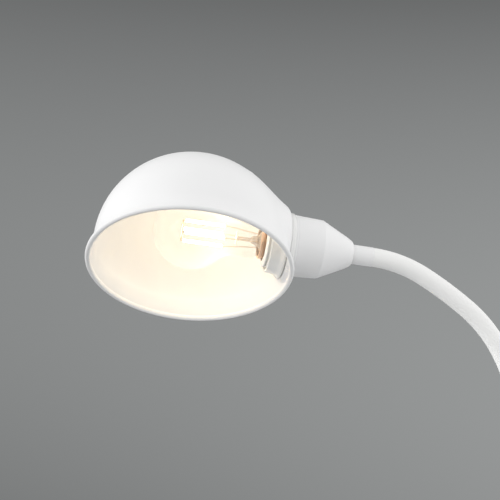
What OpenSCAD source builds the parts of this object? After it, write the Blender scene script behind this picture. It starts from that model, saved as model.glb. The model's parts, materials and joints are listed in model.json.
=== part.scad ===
// Gooseneck desk lamp: round weighted base, flexible arm in a white sleeve, pressed steel dome
// shade on an E27 lampholder with a clear filament-style bulb.
// Frame: +Z up, origin at the middle of the foot pad's underside, head towards -X.
// The head's own frame starts at the end of the arm, with its Z axis running on towards the shade.

/* [Base] */
// Diameter of the base cover
base_d = 172; // [160:1:220]
// Height of the base cover's top above the table
base_h = 23; // [21:0.5:30]
// Radius of the rounded edge of the base cover
base_edge_r = 9; // [4:0.5:10]
// Sheet thickness of the base cover
base_wall = 1; // [0.8:0.1:1.5]
// Thickness of the soft foot pad
pad_t = 2; // [1:0.5:3]
// Thickness of the steel plate that closes the base
plate_t = 1; // [0.8:0.1:1.5]
// Thickness of the cast weight's ring
weight_t = 15; // [12:0.5:17]
// Diameter of the cable inlet's bore
inlet_d = 6.6; // [5:0.2:7.6]

/* [Switch] */
// Distance from the arm to the push button
switch_reach = 56; // [45:1:62]
// Direction of the push button, measured from +X
switch_angle = -90; // [-120:5:-60]
// Diameter of the push button
button_d = 11; // [8:0.5:13]
// Height of the push button above its bezel
button_rise = 4; // [3.5:0.5:6]
// Travel of the push button
button_travel = 2.5; // [1:0.5:3]
// Diameter of the switch's threaded barrel
barrel_d = 15; // [15:0.5:18]

/* [Arm] */
// Outer diameter of the white sleeve
sleeve_d = 15; // [14.5:0.5:20]
// Wall of the white sleeve
sleeve_wall = 1.3; // [1:0.1:1.5]
// Length of one flexing section of the arm
section_l = 45; // [40:1:50]
// Diameter of the wire that the core is wound from
core_wire_d = 2; // [1.6:0.1:2.2]
// Wound bundles of the core in one section
core_bundles = 3; // [2:1:3]
// Diameter of the lead that runs through the core
lead_d = 5; // [4:0.1:5]
// Height of the arm's collar on the base
collar_h = 20; // [16:0.5:30]
// Length of the ferrule at the head end
ferrule_l = 17; // [17:0.5:24]

/* [Lampholder cover] */
// Diameter of the cover at its open end
cover_d = 47; // [46:0.5:50]
// Diameter where the cover's cone begins
cover_seam_d = 45; // [44.6:0.2:46]
// Length of the cover's cylinder
cover_cyl_l = 24; // [23:0.5:28]
// Length of the cover's cone
cover_cone_l = 21; // [19:0.5:26]
// Diameter at the small end of the cone
cover_tip_d = 23.6; // [22:0.2:26]
// Sheet thickness of the cover
cover_wall = 0.8; // [0.6:0.1:1]

/* [Shade] */
// Diameter of the dome
dome_d = 150; // [148:1:160]
// Depth of the flared band below the dome
flare_h = 15.8; // [12:0.2:20]
// How far the flare widens the radius
flare_out = 2.9; // [1:0.1:5]
// Diameter of the rolled bead on the rim
bead_d = 4; // [3:0.2:5]
// Sheet thickness of the shade
shade_wall = 1; // [0.7:0.1:1.2]
// Distance from the lampholder's axis to the dome's centre
holder_rise = 17; // [12:0.5:20]
// Turn of the shade about the lampholder's axis
head_roll = 33; // [-60:1:60]
// Distance from the dome's axis to the flat seat of its boss
seat_s = 73.5; // [68:0.5:74.5]
// Radius of the flat seat of the boss
seat_r = 27.4; // [26:0.2:30]
// Radius that rounds the boss into its seat
boss_round_r = 4.5; // [3:0.5:6]
// Half angle of the boss's cone
boss_angle = 28; // [22:1:34]
// Thickness of the spacer between the shade and the cover
spacer_t = 4.2; // [3:0.1:6]

/* [Bulb] */
// Diameter of the glass bulb
bulb_d = 60; // [55:1:62]
// Distance from the bulb's centre to the dome's axis
bulb_shift = 1; // [0:0.5:6]
// Wall of the glass
glass_wall = 0.8; // [0.5:0.1:1.2]
// Length of a filament
filament_l = 34; // [30:1:38]
// Diameter of a filament
filament_d = 2.2; // [1.6:0.1:2.6]
// Number of filaments
filament_count = 4; // [2:1:6]

/* [Hidden] */
$fn = 72;

// Clearances and standard sizes
fit = 0.1;            // turning and sliding fits, all round
slip = 0.3;           // pieces that only lie beside each other
over = 1;             // how far a cutter runs past what it cuts
nipple_r = 5;         // M10 x 1 hollow nipple
nipple_bore_r = 3.4;
nut_af = 14;          // thin M10 nut, across flats
nut_t = 3.5;
washer_t = 1;
holder_thread_r = 20; // 40 mm thread of the lampholder's skirt
e27_r = 13.1;         // outside of the bulb cap's thread
e27_root_r = 12.2;
e27_pitch = 3.6;
white = [0.93, 0.93, 0.92];
steel = [0.72, 0.73, 0.75];
brass = [0.80, 0.62, 0.32];

// Base levels
plate_z = pad_t;
weight_z = plate_z + plate_t;
weight_top = weight_z + weight_t;
cover_in_z = base_h - base_wall;
base_r = base_d / 2;
skirt_z = pad_t - 0.5;             // the cover's edge, just above the table
weight_r = base_r - base_wall - slip - (base_edge_r > weight_t ? 0 : 1);
boss_r = 24;                       // raised middle of the weight, under the collar
nut_pocket_r = 11;
lead_slot_w = 9;
lead_slot_h = 8;
base_screw_r = 2;
base_screw_at = base_r * 0.72;
base_screw_count = 3;
screw_head_r = base_screw_r + 1.6;
screw_head_h = 0.6;
grommet_r = inlet_d / 2 + 1.6;
grommet_lip_r = grommet_r + 1.3;
grommet_lip_t = 1.6;
inlet_z = weight_z + grommet_lip_r + slip;

// Switch, measured along its own axis from the table
barrel_r = barrel_d / 2;
barrel_z = weight_z + 0.5;
bezel_t = 1.6;
bezel_r = barrel_r + 2;
switch_hole_r = barrel_r + fit;
button_r = button_d / 2;
button_well = button_travel + 3.5;  // how deep the button's stem reaches below the bezel

// Arm
turns = [0, 0, 0, 12, 16, 22, 8, 24];   // bend of each section as the arm stands
sections = len(turns);
sleeve_r = sleeve_d / 2;
bore_r = sleeve_r - sleeve_wall;
core_r = bore_r - slip - 0.2;
core_in_r = core_r - core_wire_d;
flex_gap = 2.4;                    // free space in the core at each joint of the arm
bundle_gap = 0.8;                  // free space between the bundles of one section
core_tail = 9;                     // core inside the collar and the ferrule
collar_r = sleeve_r + 2;
collar_flange_r = 17;
arm_z = base_h + collar_h;         // where the sleeve begins
lead_foot_z = weight_z + 1;

function heading(i) = i <= 0 ? 0 : heading(i - 1) + turns[i - 1];
function arc_r(t) = section_l * 180 / (PI * t);
function step_x(a, t) = abs(t) < 0.01 ? -section_l * sin(a) : -arc_r(t) * (cos(a) - cos(a + t));
function step_z(a, t) = abs(t) < 0.01 ? section_l * cos(a) : arc_r(t) * (sin(a + t) - sin(a));
function place_x(i) = i <= 0 ? 0 : place_x(i - 1) + step_x(heading(i - 1), turns[i - 1]);
function place_z(i) = i <= 0 ? arm_z : place_z(i - 1) + step_z(heading(i - 1), turns[i - 1]);

// Head, measured from the arm's end along the head's axis
cover_z = ferrule_l;
cone_z = cover_z + 4.6;            // small end of the cone, after the rounded tip
seam_z = cone_z + cover_cone_l;
cover_end = seam_z + cover_cyl_l;
spacer_z = cover_end;
seat_z = spacer_z + spacer_t;
shade_z = seat_z + seat_s;         // the dome's axis
cover_r = cover_d / 2;
cover_seam_r = cover_seam_d / 2;
cover_tip_r = cover_tip_d / 2;
tip_face_r = cover_tip_r - 3;
ferrule_r = sleeve_r + 0.25;
washer_z = cover_z + 1.4;
nipple_in = 8;                     // nipple inside the ferrule
holder_cap_z = cover_z + 20;
holder_cap_l = cover_end - 12 - holder_cap_z;
nipple_top = holder_cap_z + 7;
skirt_end = seat_z + 15.5;         // open rim of the lampholder
shoulder_t = 3;
holder_r = cover_seam_r - cover_wall - 0.7;
block_r = 14;
block_l = 8;
ring_l = 9;
ring_flange_r = seat_r - 1;
ring_flange_t = 2.4;

// Shade
dome_r = dome_d / 2;
bead_r = bead_d / 2;
flare_turn = 2 * atan(flare_out / flare_h);
flare_arc_r = flare_h / sin(flare_turn);
rim_r = dome_r + flare_out;
seat_cut = 0.4;                    // how much of the boss's crown the seat cuts away
seat_pocket_r = seat_r + 1.2;
boss_foot_s = dome_r / 2;

// Bulb, measured from the dome's axis towards the arm
bulb_r = bulb_d / 2;
neck_r = 14.4;
neck_arc_r = 22;
neck_arc_s = sqrt(pow(bulb_r + neck_arc_r, 2) - pow(neck_r + neck_arc_r, 2)) - bulb_shift;
cap_s = neck_arc_s + 12;           // front edge of the metal cap
cap_l = 21.5;
cap_wall = 0.4;
glass_foot_r = e27_root_r - cap_wall - slip;
insulator_l = 3.4;
filament_ring_r = 8;
filament_s = 26;                   // root end of the filaments
wire_r = 0.45;

// ---------------------------------------------------------------- frames and common forms

module at_section(i) {
    translate([place_x(i), 0, place_z(i)]) rotate([0, -heading(i), 0]) children();
}

module at_head(z = 0) {
    at_section(sections) translate([0, 0, z]) children();
}

// From the dome's axis back towards the arm, turned with the shade
module from_shade() {
    at_head(shade_z) rotate([0, 0, head_roll]) mirror([0, 0, 1]) children();
}

module at_switch() {
    rotate([0, 0, switch_angle]) translate([switch_reach, 0, 0]) children();
}

// A straight or bent length of the arm, with the given cross-section as child
module bend(turn) {
    if (abs(turn) < 0.01)
        linear_extrude(section_l) children();
    else
        translate([-arc_r(turn), 0, 0]) rotate([90, 0, 0])
            rotate_extrude(angle = turn, $fn = 144) translate([arc_r(turn), 0]) children();
}

module tube(r, bore, h) {
    rotate_extrude() translate([bore, 0]) square([r - bore, h]);
}

module hex_nut(af, bore, h) {
    difference() {
        cylinder(r = af / 2 / cos(30), h = h, $fn = 6);
        translate([0, 0, -over]) cylinder(r = bore, h = h + 2 * over);
    }
}

// ---------------------------------------------------------------- base

module foot_pad() {
    color([0.20, 0.20, 0.21]) difference() {
        cylinder(r = weight_r - 2, h = pad_t, $fn = 144);
        base_screw_places() translate([0, 0, pad_t - screw_head_h - fit])
            cylinder(r = screw_head_r + slip, h = screw_head_h + fit + over);
    }
}

module base_screw_places() {
    for (k = [0 : base_screw_count - 1])
        rotate([0, 0, 90 + k * 360 / base_screw_count]) translate([base_screw_at, 0, 0]) children();
}

module base_plate() {
    color(steel) difference() {
        translate([0, 0, plate_z]) cylinder(r = weight_r, h = plate_t, $fn = 144);
        base_screw_places() translate([0, 0, plate_z - over]) cylinder(r = base_screw_r + fit, h = plate_t + 2 * over);
    }
}

// Iron ring with a raised middle, a pocket for the nut, a slot for the leads and a well for the switch
module base_weight() {
    color([0.27, 0.27, 0.28]) difference() {
        union() {
            translate([0, 0, weight_z]) rotate_extrude($fn = 144) weight_outline();
            translate([0, 0, weight_z]) cylinder(r = boss_r, h = cover_in_z - weight_z);
        }
        translate([0, 0, weight_z - over]) cylinder(r = nut_pocket_r, h = over + weight_t - 4);
        cylinder(r = nipple_r + fit, h = base_h);
        at_switch() translate([0, 0, weight_z - over]) cylinder(r = bezel_r + 3, h = weight_t + 2 * over);
        lead_slot(base_r);
        rotate([0, 0, switch_angle]) lead_slot(switch_reach);
        base_screw_places() translate([0, 0, weight_z - over]) cylinder(r = base_screw_r + fit, h = 9 + over);
        translate([base_r - base_wall - grommet_lip_t - 2, 0, inlet_z]) rotate([0, 90, 0])
            cylinder(r = grommet_lip_r + slip, h = base_wall + grommet_lip_t + 2);
    }
}

module weight_outline() {
    round_r = min(base_edge_r, weight_t - 3);
    difference() {
        square([weight_r, weight_t]);
        translate([weight_r - round_r, weight_t - round_r]) square(round_r + over);
    }
    intersection() {
        translate([weight_r - round_r, weight_t - round_r]) circle(r = round_r);
        square([weight_r, weight_t]);
    }
}

module lead_slot(reach) {
    translate([0, -lead_slot_w / 2, weight_z - over]) cube([reach, lead_slot_w, lead_slot_h + over]);
}

module cover_outline(r, h, edge) {
    square([r, h - edge]);
    square([r - edge, h]);
    translate([r - edge, h - edge]) circle(r = edge);
}

module base_cover() {
    color(white) difference() {
        translate([0, 0, skirt_z]) rotate_extrude($fn = 144) difference() {
            intersection() {
                cover_outline(base_r, base_h - skirt_z, base_edge_r);
                square([base_r, base_h]);
            }
            translate([0, -over]) intersection() {
                cover_outline(base_r - base_wall, base_h - skirt_z - base_wall + over, base_edge_r - base_wall);
                square([base_r, base_h]);
            }
        }
        cylinder(r = nipple_r + fit, h = base_h + over);
        at_switch() cylinder(r = switch_hole_r, h = base_h + over);
        translate([base_r - base_edge_r, 0, inlet_z]) rotate([0, 90, 0]) cylinder(r = grommet_r + fit, h = 2 * base_edge_r);
    }
}

module base_screws() {
    color(steel) base_screw_places() translate([0, 0, plate_z - screw_head_h]) {
        cylinder(r = screw_head_r, h = screw_head_h);
        cylinder(r = base_screw_r, h = screw_head_h + plate_t + 8);
    }
}

// Rubber grommet in the rear of the cover, open for a lead
module cable_grommet() {
    wall_gap = base_wall + 0.6;    // groove between the lips, wider than the curved wall is thick
    color([0.9, 0.9, 0.89]) translate([base_r + fit - wall_gap - grommet_lip_t, 0, inlet_z]) rotate([0, 90, 0])
        rotate_extrude() {
            translate([inlet_d / 2, 0]) square([grommet_r - inlet_d / 2, wall_gap + 2 * grommet_lip_t]);
            for (x = [0, wall_gap + grommet_lip_t])
                translate([inlet_d / 2, x]) square([grommet_lip_r - inlet_d / 2, grommet_lip_t]);
        }
}

// ---------------------------------------------------------------- switch

module switch_barrel() {
    color([0.2, 0.2, 0.2]) at_switch() difference() {
        translate([0, 0, barrel_z]) cylinder(r = barrel_r, h = base_h - barrel_z);
        translate([0, 0, base_h - button_well - slip]) cylinder(r = button_r + fit, h = button_well + over);
    }
}

module switch_bezel() {
    color(white) at_switch() translate([0, 0, base_h]) rotate_extrude() difference() {
        union() {
            square([bezel_r, bezel_t / 2]);
            square([bezel_r - bezel_t / 2, bezel_t]);
            translate([bezel_r - bezel_t / 2, bezel_t / 2]) circle(r = bezel_t / 2);
        }
        translate([0, -over]) square([button_r + fit, bezel_t + 2 * over]);
        translate([0, -over]) square([bezel_r + over, over]);
    }
}

module switch_nut() {
    color(steel) at_switch() translate([0, 0, cover_in_z - 2.5]) hex_nut(2 * barrel_r + 4.4, barrel_r + fit, 2.5);
}

module switch_button() {
    top = base_h + bezel_t + button_rise;
    round_r = 1.2;
    color(white) at_switch() translate([0, 0, base_h - button_well + button_travel]) rotate_extrude() {
        stem_h = top - base_h + button_well - button_travel;
        square([button_r, stem_h - round_r]);
        square([button_r - round_r, stem_h]);
        intersection() {
            translate([button_r - round_r, stem_h - round_r]) circle(r = round_r);
            square([button_r, stem_h]);
        }
    }
}

// ---------------------------------------------------------------- arm

module arm_collar() {
    color(white) translate([0, 0, base_h]) rotate_extrude($fn = 96) difference() {
        union() {
            square([collar_r, collar_h - 1]);
            square([collar_r - 1, collar_h]);
            translate([collar_r - 1, collar_h - 1]) circle(r = 1);
            square([collar_flange_r, 2]);
            difference() {
                square([collar_r + 6, 8]);
                translate([collar_r + 6, 8]) circle(r = 6);
            }
        }
        translate([0, collar_h - core_tail - slip]) square([core_r + fit, core_tail + slip + over]);
        translate([0, -over]) square([nipple_r + fit, collar_h]);
        translate([-over, -over]) square([over, collar_h + 2 * over]);
    }
}

module base_nipple() {
    nipple_z = weight_z + 2;
    color(steel) translate([0, 0, nipple_z])
        tube(nipple_r, nipple_bore_r, arm_z - core_tail - 1 - nipple_z);
}

module base_nut() {
    color(steel) translate([0, 0, weight_top - 4 - washer_t - nut_t]) hex_nut(nut_af, nipple_r + fit, nut_t);
}

module base_washer() {
    color(steel) translate([0, 0, weight_top - 4 - washer_t]) tube(nut_pocket_r - 0.5, nipple_r + fit, washer_t);
}

module sleeve(i) {
    color(white) at_section(i - 1) bend(turns[i - 1]) difference() {
        circle(r = sleeve_r);
        circle(r = bore_r);
    }
}

// Lead of one section; the ends run on through the nipples into the base and the lampholder
module lead(i) {
    color([0.85, 0.85, 0.84]) at_section(i - 1) {
        bend(turns[i - 1]) circle(r = lead_d / 2);
        if (i == 1) translate([0, 0, lead_foot_z - arm_z]) cylinder(r = lead_d / 2, h = arm_z - lead_foot_z);
        if (i == sections) on_bend(turns[i - 1], 1) translate([0, 0, -over])
            cylinder(r = lead_d / 2 - fit, h = nipple_top + 2 + over);
    }
}

// Touching turns of round wire around a thin inner layer
module wound_bundle(l) {
    count = floor(l / core_wire_d);
    turn_r = core_wire_d / 2;
    pitch = (l - core_wire_d) / (count - 1) * 0.97;
    rotate_extrude($fn = 48) {
        for (k = [0 : count - 1])
            translate([core_r - turn_r, turn_r + k * pitch]) circle(r = turn_r, $fn = 32);
        translate([core_in_r, turn_r]) square([core_r - turn_r - core_in_r, (count - 1) * pitch]);
    }
}

// The core of one section: short straight bundles that follow the bend
module core(i) {
    turn = turns[i - 1];
    usable = section_l - flex_gap;
    bundle_l = (usable - (core_bundles - 1) * bundle_gap) / core_bundles;
    color(steel) at_section(i - 1) {
        for (k = [0 : core_bundles - 1]) {
            mid = (flex_gap / 2 + bundle_l / 2 + k * (bundle_l + bundle_gap)) / section_l;
            on_bend(turn, mid) translate([0, 0, -bundle_l / 2]) wound_bundle(bundle_l);
        }
        if (i == 1) translate([0, 0, -core_tail]) wound_bundle(core_tail);
        if (i == sections) on_bend(turn, 1) wound_bundle(core_tail - 1);
    }
}

// Puts its children at a fraction of the way along a bent section
module on_bend(turn, part) {
    if (abs(turn) < 0.01)
        translate([0, 0, section_l * part]) children();
    else
        translate([-arc_r(turn) * (1 - cos(turn * part)), 0, arc_r(turn) * sin(turn * part)])
            rotate([0, -turn * part, 0]) children();
}

// ---------------------------------------------------------------- head: swivel and cover

module head_ferrule() {
    color(white) at_head() rotate_extrude() difference() {
        union() {
            square([ferrule_r, ferrule_l - 0.5]);
            square([ferrule_r - 0.5, ferrule_l]);
            translate([ferrule_r - 0.5, ferrule_l - 0.5]) circle(r = 0.5, $fn = 24);
        }
        translate([0, -over]) square([core_r + fit, core_tail - 1 + slip + over]);
        translate([0, -over]) square([nipple_r + fit, ferrule_l + 2 * over]);
    }
}

module head_nipple() {
    color(steel) at_head(ferrule_l - nipple_in) tube(nipple_r, nipple_bore_r, nipple_top - ferrule_l + nipple_in);
}

module swivel_washer() {
    color(steel) at_head(washer_z) tube(tip_face_r - 1.2, nipple_r + fit, washer_t);
}

module swivel_nut() {
    color(steel) at_head(washer_z + washer_t) hex_nut(nut_af, nipple_r + fit, nut_t);
}

// Outline of the cover: rounded tip, cone, cylinder
module cover_profile(inset) {
    tip_round = cone_z - cover_z;
    polygon([
        [0, inset * 1.5], [tip_face_r - inset, inset * 1.5],
        for (a = [15 : 15 : 75]) [
            tip_face_r + (cover_tip_r - tip_face_r) * sin(a) - inset,
            inset * 1.5 + (tip_round - inset * 1.5) * (1 - cos(a))
        ],
        [cover_tip_r - inset, tip_round],
        [cover_seam_r - inset, seam_z - cover_z],
        [cover_r - inset, cover_end - cover_z + (inset > 0 ? over : 0)],
        [0, cover_end - cover_z + (inset > 0 ? over : 0)]
    ]);
}

module holder_cover() {
    color(white) at_head(cover_z) rotate_extrude($fn = 96) difference() {
        cover_profile(0);
        cover_profile(cover_wall);
        translate([0, -over]) square([nipple_r + fit, 2 * over + 2]);
    }
}

// Spacer between the cover's edge and the shade's seat
module spacer_ring() {
    edge = 0.8;
    outer = seat_r - 1.5;
    inner = holder_thread_r + 0.5;
    color(white) at_head(spacer_z) rotate_extrude($fn = 96) {
        translate([inner, 0]) square([outer - edge - inner, spacer_t]);
        translate([inner, edge]) square([outer - inner, spacer_t - 2 * edge]);
        for (z = [edge, spacer_t - edge]) translate([outer - edge, z]) circle(r = edge, $fn = 24);
    }
}

// ---------------------------------------------------------------- head: lampholder

// Rear dome of the lampholder, which turns on the nipple
module holder_cap() {
    bush_r = 8;
    color([0.95, 0.95, 0.94]) at_head(holder_cap_z) rotate_extrude() difference() {
        union() {
            polygon([
                [0, 0], [bush_r, 0], [bush_r + 3, 1], [holder_r - 4, 4.5], [holder_r - 1, 9],
                [holder_r, 13], [holder_r, holder_cap_l], [0, holder_cap_l]
            ]);
        }
        translate([0, 4]) polygon([
            [bush_r, 0], [holder_r - 6, 3], [holder_r - 3, 8], [holder_r - 2, holder_cap_l], [bush_r, holder_cap_l]
        ]);
        translate([0, 10]) square([bush_r + over, holder_cap_l]);
        translate([0, -over]) square([nipple_r + fit, holder_cap_l]);
    }
}

// Front half of the lampholder: shoulder, 40 mm threaded skirt and open mouth
module holder_skirt() {
    start = holder_cap_z + holder_cap_l;
    shoulder_z = cover_end - shoulder_t - start;
    l = skirt_end - start;
    mouth_r = e27_r + 1.6;
    pitch = 2.5;
    color([0.95, 0.95, 0.94]) at_head(start) rotate_extrude($fn = 96) difference() {
        union() {
            translate([0, 0]) square([holder_r - fit, shoulder_z + shoulder_t]);
            square([holder_thread_r - 0.8, l]);
            for (z = [cover_end - start + 1 : pitch : l - pitch])
                translate([0, z]) polygon([
                    [0, 0], [holder_thread_r - 0.8, 0], [holder_thread_r, 0.8],
                    [holder_thread_r, 1.3], [holder_thread_r - 0.8, 2.1], [0, 2.1]
                ]);
        }
        translate([0, block_l]) square([mouth_r, l]);
        translate([0, -over]) square([block_r + slip, block_l + 2 * over]);
    }
}

// Insulating block that carries the contacts and the lead's terminals
module terminal_block() {
    start = holder_cap_z + holder_cap_l;
    color([0.92, 0.9, 0.86]) at_head(start - 2) difference() {
        cylinder(r = block_r, h = block_l + 2);
        for (side = [-1, 1]) translate([side * 8, 0, -over]) cylinder(r = 1.8 + fit, h = 6 + over);
        translate([0, 0, block_l]) cylinder(r = 4, h = 2 + over);
        for (side = [-1, 1]) rotate([90, 0, 0]) translate([side * 8, 3, 0]) cylinder(r = 1.6, h = block_r + over);
    }
}

module terminal_screws() {
    start = holder_cap_z + holder_cap_l;
    color(steel) at_head(start - 2) for (side = [-1, 1]) translate([side * 8, 0, -1]) difference() {
        cylinder(r = 1.8, h = 4);
        translate([-3, -0.3, -over]) cube([6, 0.6, over + 0.6]);
    }
}

// Rounded screw thread as a stack of grooves, for the shell and the bulb's cap
module edison_outline(r_root, r_crest, l) {
    count = floor(l / e27_pitch);
    depth = r_crest - r_root;
    square([r_root, l]);
    intersection() {
        square([r_crest, l]);
        for (k = [0 : count]) translate([r_crest - e27_pitch / 4 - depth / 4, k * e27_pitch + e27_pitch / 4])
            circle(r = e27_pitch / 4 + depth / 4, $fn = 32);
    }
}

module screw_shell() {
    top = holder_cap_z + holder_cap_l + block_l;
    l = skirt_end - top - 1.5;
    gap = 0.25;
    color(brass) at_head(top) rotate_extrude() difference() {
        square([e27_r + gap + 0.45, l]);
        translate([0, -over]) square([e27_r + gap, l + 2 * over]);
    }
}

module centre_contact() {
    color(brass) at_head(holder_cap_z + holder_cap_l + block_l - 2) {
        cylinder(r = 3.6, h = 0.8);
        cylinder(r = 1.6, h = contact_gap());
    }
}

// Room left for the contact's tongue below the bulb's own contact
function contact_gap() = shade_z - (cap_s + cap_l + insulator_l + 1.2) - (holder_cap_z + holder_cap_l + block_l - 2) - fit;

// Ring screwed on the skirt from inside the shade, which clamps the shade's seat
module shade_ring() {
    inside_z = seat_z + shade_wall;
    rib_count = 24;
    rib_r = 0.9;
    ring_r = holder_thread_r + 2.2;
    color([0.95, 0.95, 0.94]) at_head(inside_z) {
        rotate_extrude($fn = 96) difference() {
            union() {
                square([ring_r, ring_l]);
                square([ring_flange_r, ring_flange_t]);
            }
            translate([0, -over]) square([holder_thread_r + fit, ring_l + 2 * over]);
        }
        for (k = [0 : rib_count - 1]) rotate([0, 0, k * 360 / rib_count])
            translate([ring_r - 0.2, 0, ring_flange_t]) cylinder(r = rib_r, h = ring_l - ring_flange_t - 1, $fn = 16);
    }
}

// ---------------------------------------------------------------- head: shade

// Half section of the dome and its flare, from the axis to the wall, inset by the sheet's thickness
module dome_outline(inset, below) {
    intersection() {
        circle(r = dome_r - inset, $fn = 144);
        square([dome_r, dome_r]);
    }
    difference() {
        translate([0, -flare_h - below]) square([dome_r + flare_arc_r, flare_h + below]);
        translate([dome_r + flare_arc_r, 0]) circle(r = flare_arc_r + inset, $fn = 288);
    }
}

// Half section of the boss around the lampholder's axis; the seat is cut flat through its crown
module boss_outline(inset) {
    crown_s = seat_s + seat_cut;
    round_s = crown_s - boss_round_r;
    round_at = seat_r - sqrt(pow(boss_round_r, 2) - pow(boss_round_r - seat_cut, 2));
    touch_r = round_at + (boss_round_r - inset) * cos(boss_angle);
    touch_s = round_s + (boss_round_r - inset) * sin(boss_angle);
    polygon([
        [0, boss_foot_s], [touch_r + (touch_s - boss_foot_s) * tan(boss_angle), boss_foot_s],
        [touch_r, touch_s], [round_at, round_s], [round_at, crown_s - inset], [0, crown_s - inset]
    ]);
    translate([round_at, round_s]) circle(r = boss_round_r - inset);
}

module shade_body(inset, below) {
    difference() {
        union() {
            translate([-holder_rise, 0, 0]) rotate([0, 90, 0])
                rotate_extrude($fn = 144) dome_outline(inset, below);
            intersection() {
                rotate_extrude($fn = 96) boss_outline(inset);
                translate([-holder_rise - flare_h - below, -dome_r, 0]) cube(2 * dome_r);
            }
        }
        translate([0, 0, seat_s - inset]) cylinder(r = seat_pocket_r + inset, h = dome_r / 2, $fn = 96);
    }
}

// Pressed steel dome with a flared, bead-rolled rim and a boss that seats on the lampholder
module shade() {
    color(white) from_shade() {
        difference() {
            shade_body(0, 0);
            shade_body(shade_wall, over);
            cylinder(r = holder_thread_r + slip, h = dome_r + over);
        }
        translate([-holder_rise - flare_h, 0, 0]) rotate([0, 90, 0])
            rotate_extrude($fn = 144) translate([rim_r - shade_wall / 2, 0]) circle(r = bead_r, $fn = 32);
    }
}

// ---------------------------------------------------------------- bulb

module glass_outline(inset) {
    foot = neck_arc_s + 9;
    translate([0, -bulb_shift]) circle(r = bulb_r - inset, $fn = 96);
    square([neck_r - inset, foot]);
    polygon([
        [0, foot], [neck_r - inset, foot], [glass_foot_r - inset, cap_s - slip],
        [glass_foot_r - inset, cap_s + 6], [0, cap_s + 6]
    ]);
    difference() {
        polygon([
            [0, -bulb_shift], [(bulb_r - inset) * (neck_r + neck_arc_r) / (bulb_r + neck_arc_r),
                (bulb_r - inset) * (neck_arc_s + bulb_shift) / (bulb_r + neck_arc_r) - bulb_shift],
            [neck_r + neck_arc_r, neck_arc_s], [0, neck_arc_s]
        ]);
        translate([neck_r + neck_arc_r, neck_arc_s]) circle(r = neck_arc_r + inset, $fn = 96);
    }
}

module bulb_glass() {
    color([0.95, 0.95, 0.95, 0.3]) from_shade() rotate_extrude($fn = 96) difference() {
        intersection() {
            glass_outline(0);
            translate([0, -dome_r]) square(2 * dome_r);
        }
        glass_outline(glass_wall);
        translate([-dome_r, -dome_r]) square([dome_r, 3 * dome_r]);
    }
}

module bulb_cap() {
    color(brass) from_shade() translate([0, 0, cap_s]) rotate_extrude($fn = 72) difference() {
        union() {
            square([neck_r - 0.6, 2.2]);
            edison_outline(e27_root_r, e27_r, cap_l);
        }
        translate([0, -over]) square([e27_root_r - cap_wall, cap_l + 2 * over]);
    }
}

module bulb_insulator() {
    color([0.1, 0.1, 0.1]) from_shade() translate([0, 0, cap_s + cap_l]) rotate_extrude()
        polygon([[0, -2], [e27_root_r - cap_wall, -2], [e27_root_r - cap_wall, 0], [5.5, insulator_l], [0, insulator_l]]);
}

module bulb_contact() {
    color(steel) from_shade() translate([0, 0, cap_s + cap_l + insulator_l]) cylinder(r = 4.6, h = 1.2);
}

// Glass stem: flared foot inside the neck and a thin rod with a bead, towards the bulb's middle
module bulb_stem() {
    foot_s = cap_s + 4;
    tip_s = filament_s + 5;
    color([0.9, 0.9, 0.9, 0.4]) from_shade() rotate_extrude() polygon([
        [0, foot_s], [glass_foot_r - glass_wall, foot_s], [glass_foot_r - glass_wall, foot_s - 1.5],
        [6, foot_s - 4], [3.4, foot_s - 9], [3, foot_s - 12], [1.6, foot_s - 15],
        [1.6, tip_s + 2], [2.4, tip_s + 1], [2.4, tip_s - 1], [1.6, tip_s - 2], [0, tip_s - 2]
    ]);
}

module each_filament() {
    for (k = [0 : filament_count - 1])
        rotate([0, 0, 45 + k * 360 / filament_count]) translate([filament_ring_r, 0, 0]) children();
}

// Support wires from the stem to the filaments' roots, and the ring that joins their far ends
module filament_wires() {
    root_s = cap_s - 6;
    reach = filament_ring_r - 4;
    rise = root_s - filament_s;
    tip_s = filament_s - filament_l;
    color(steel) from_shade() {
        each_filament() translate([0, 0, filament_s]) rotate([0, -atan(reach / rise), 0])
            translate([0, 0, fit]) cylinder(r = wire_r, h = norm([reach, rise]), $fn = 16);
        translate([0, 0, tip_s - 1.2]) tube(filament_ring_r + 0.8, filament_ring_r - 0.8, 1.2);
    }
}

module filaments() {
    color([1, 0.85, 0.5]) from_shade() each_filament()
        translate([0, 0, filament_s - filament_l]) cylinder(r = filament_d / 2, h = filament_l, $fn = 24);
}

// ---------------------------------------------------------------- nodes

foot_pad();
base_plate();
base_weight();
base_cover();
base_screws();
cable_grommet();
switch_barrel();
switch_bezel();
switch_nut();
switch_button();
arm_collar();
base_nipple();
base_nut();
base_washer();
for (i = [1 : sections]) {
    sleeve(i);
    core(i);
    lead(i);
}
head_ferrule();
head_nipple();
swivel_nut();
swivel_washer();
holder_cover();
spacer_ring();
holder_cap();
holder_skirt();
shade_ring();
terminal_block();
terminal_screws();
screw_shell();
centre_contact();
shade();
bulb_cap();
bulb_insulator();
bulb_contact();
bulb_glass();
bulb_stem();
filament_wires();
filaments();
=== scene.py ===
"""Gooseneck desk lamp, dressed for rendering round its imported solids."""

import json
import math

import bmesh
import bpy
import numpy as np
from bpy.props import FloatProperty, FloatVectorProperty, IntProperty, PointerProperty
from mathutils import Matrix, Vector


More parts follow.
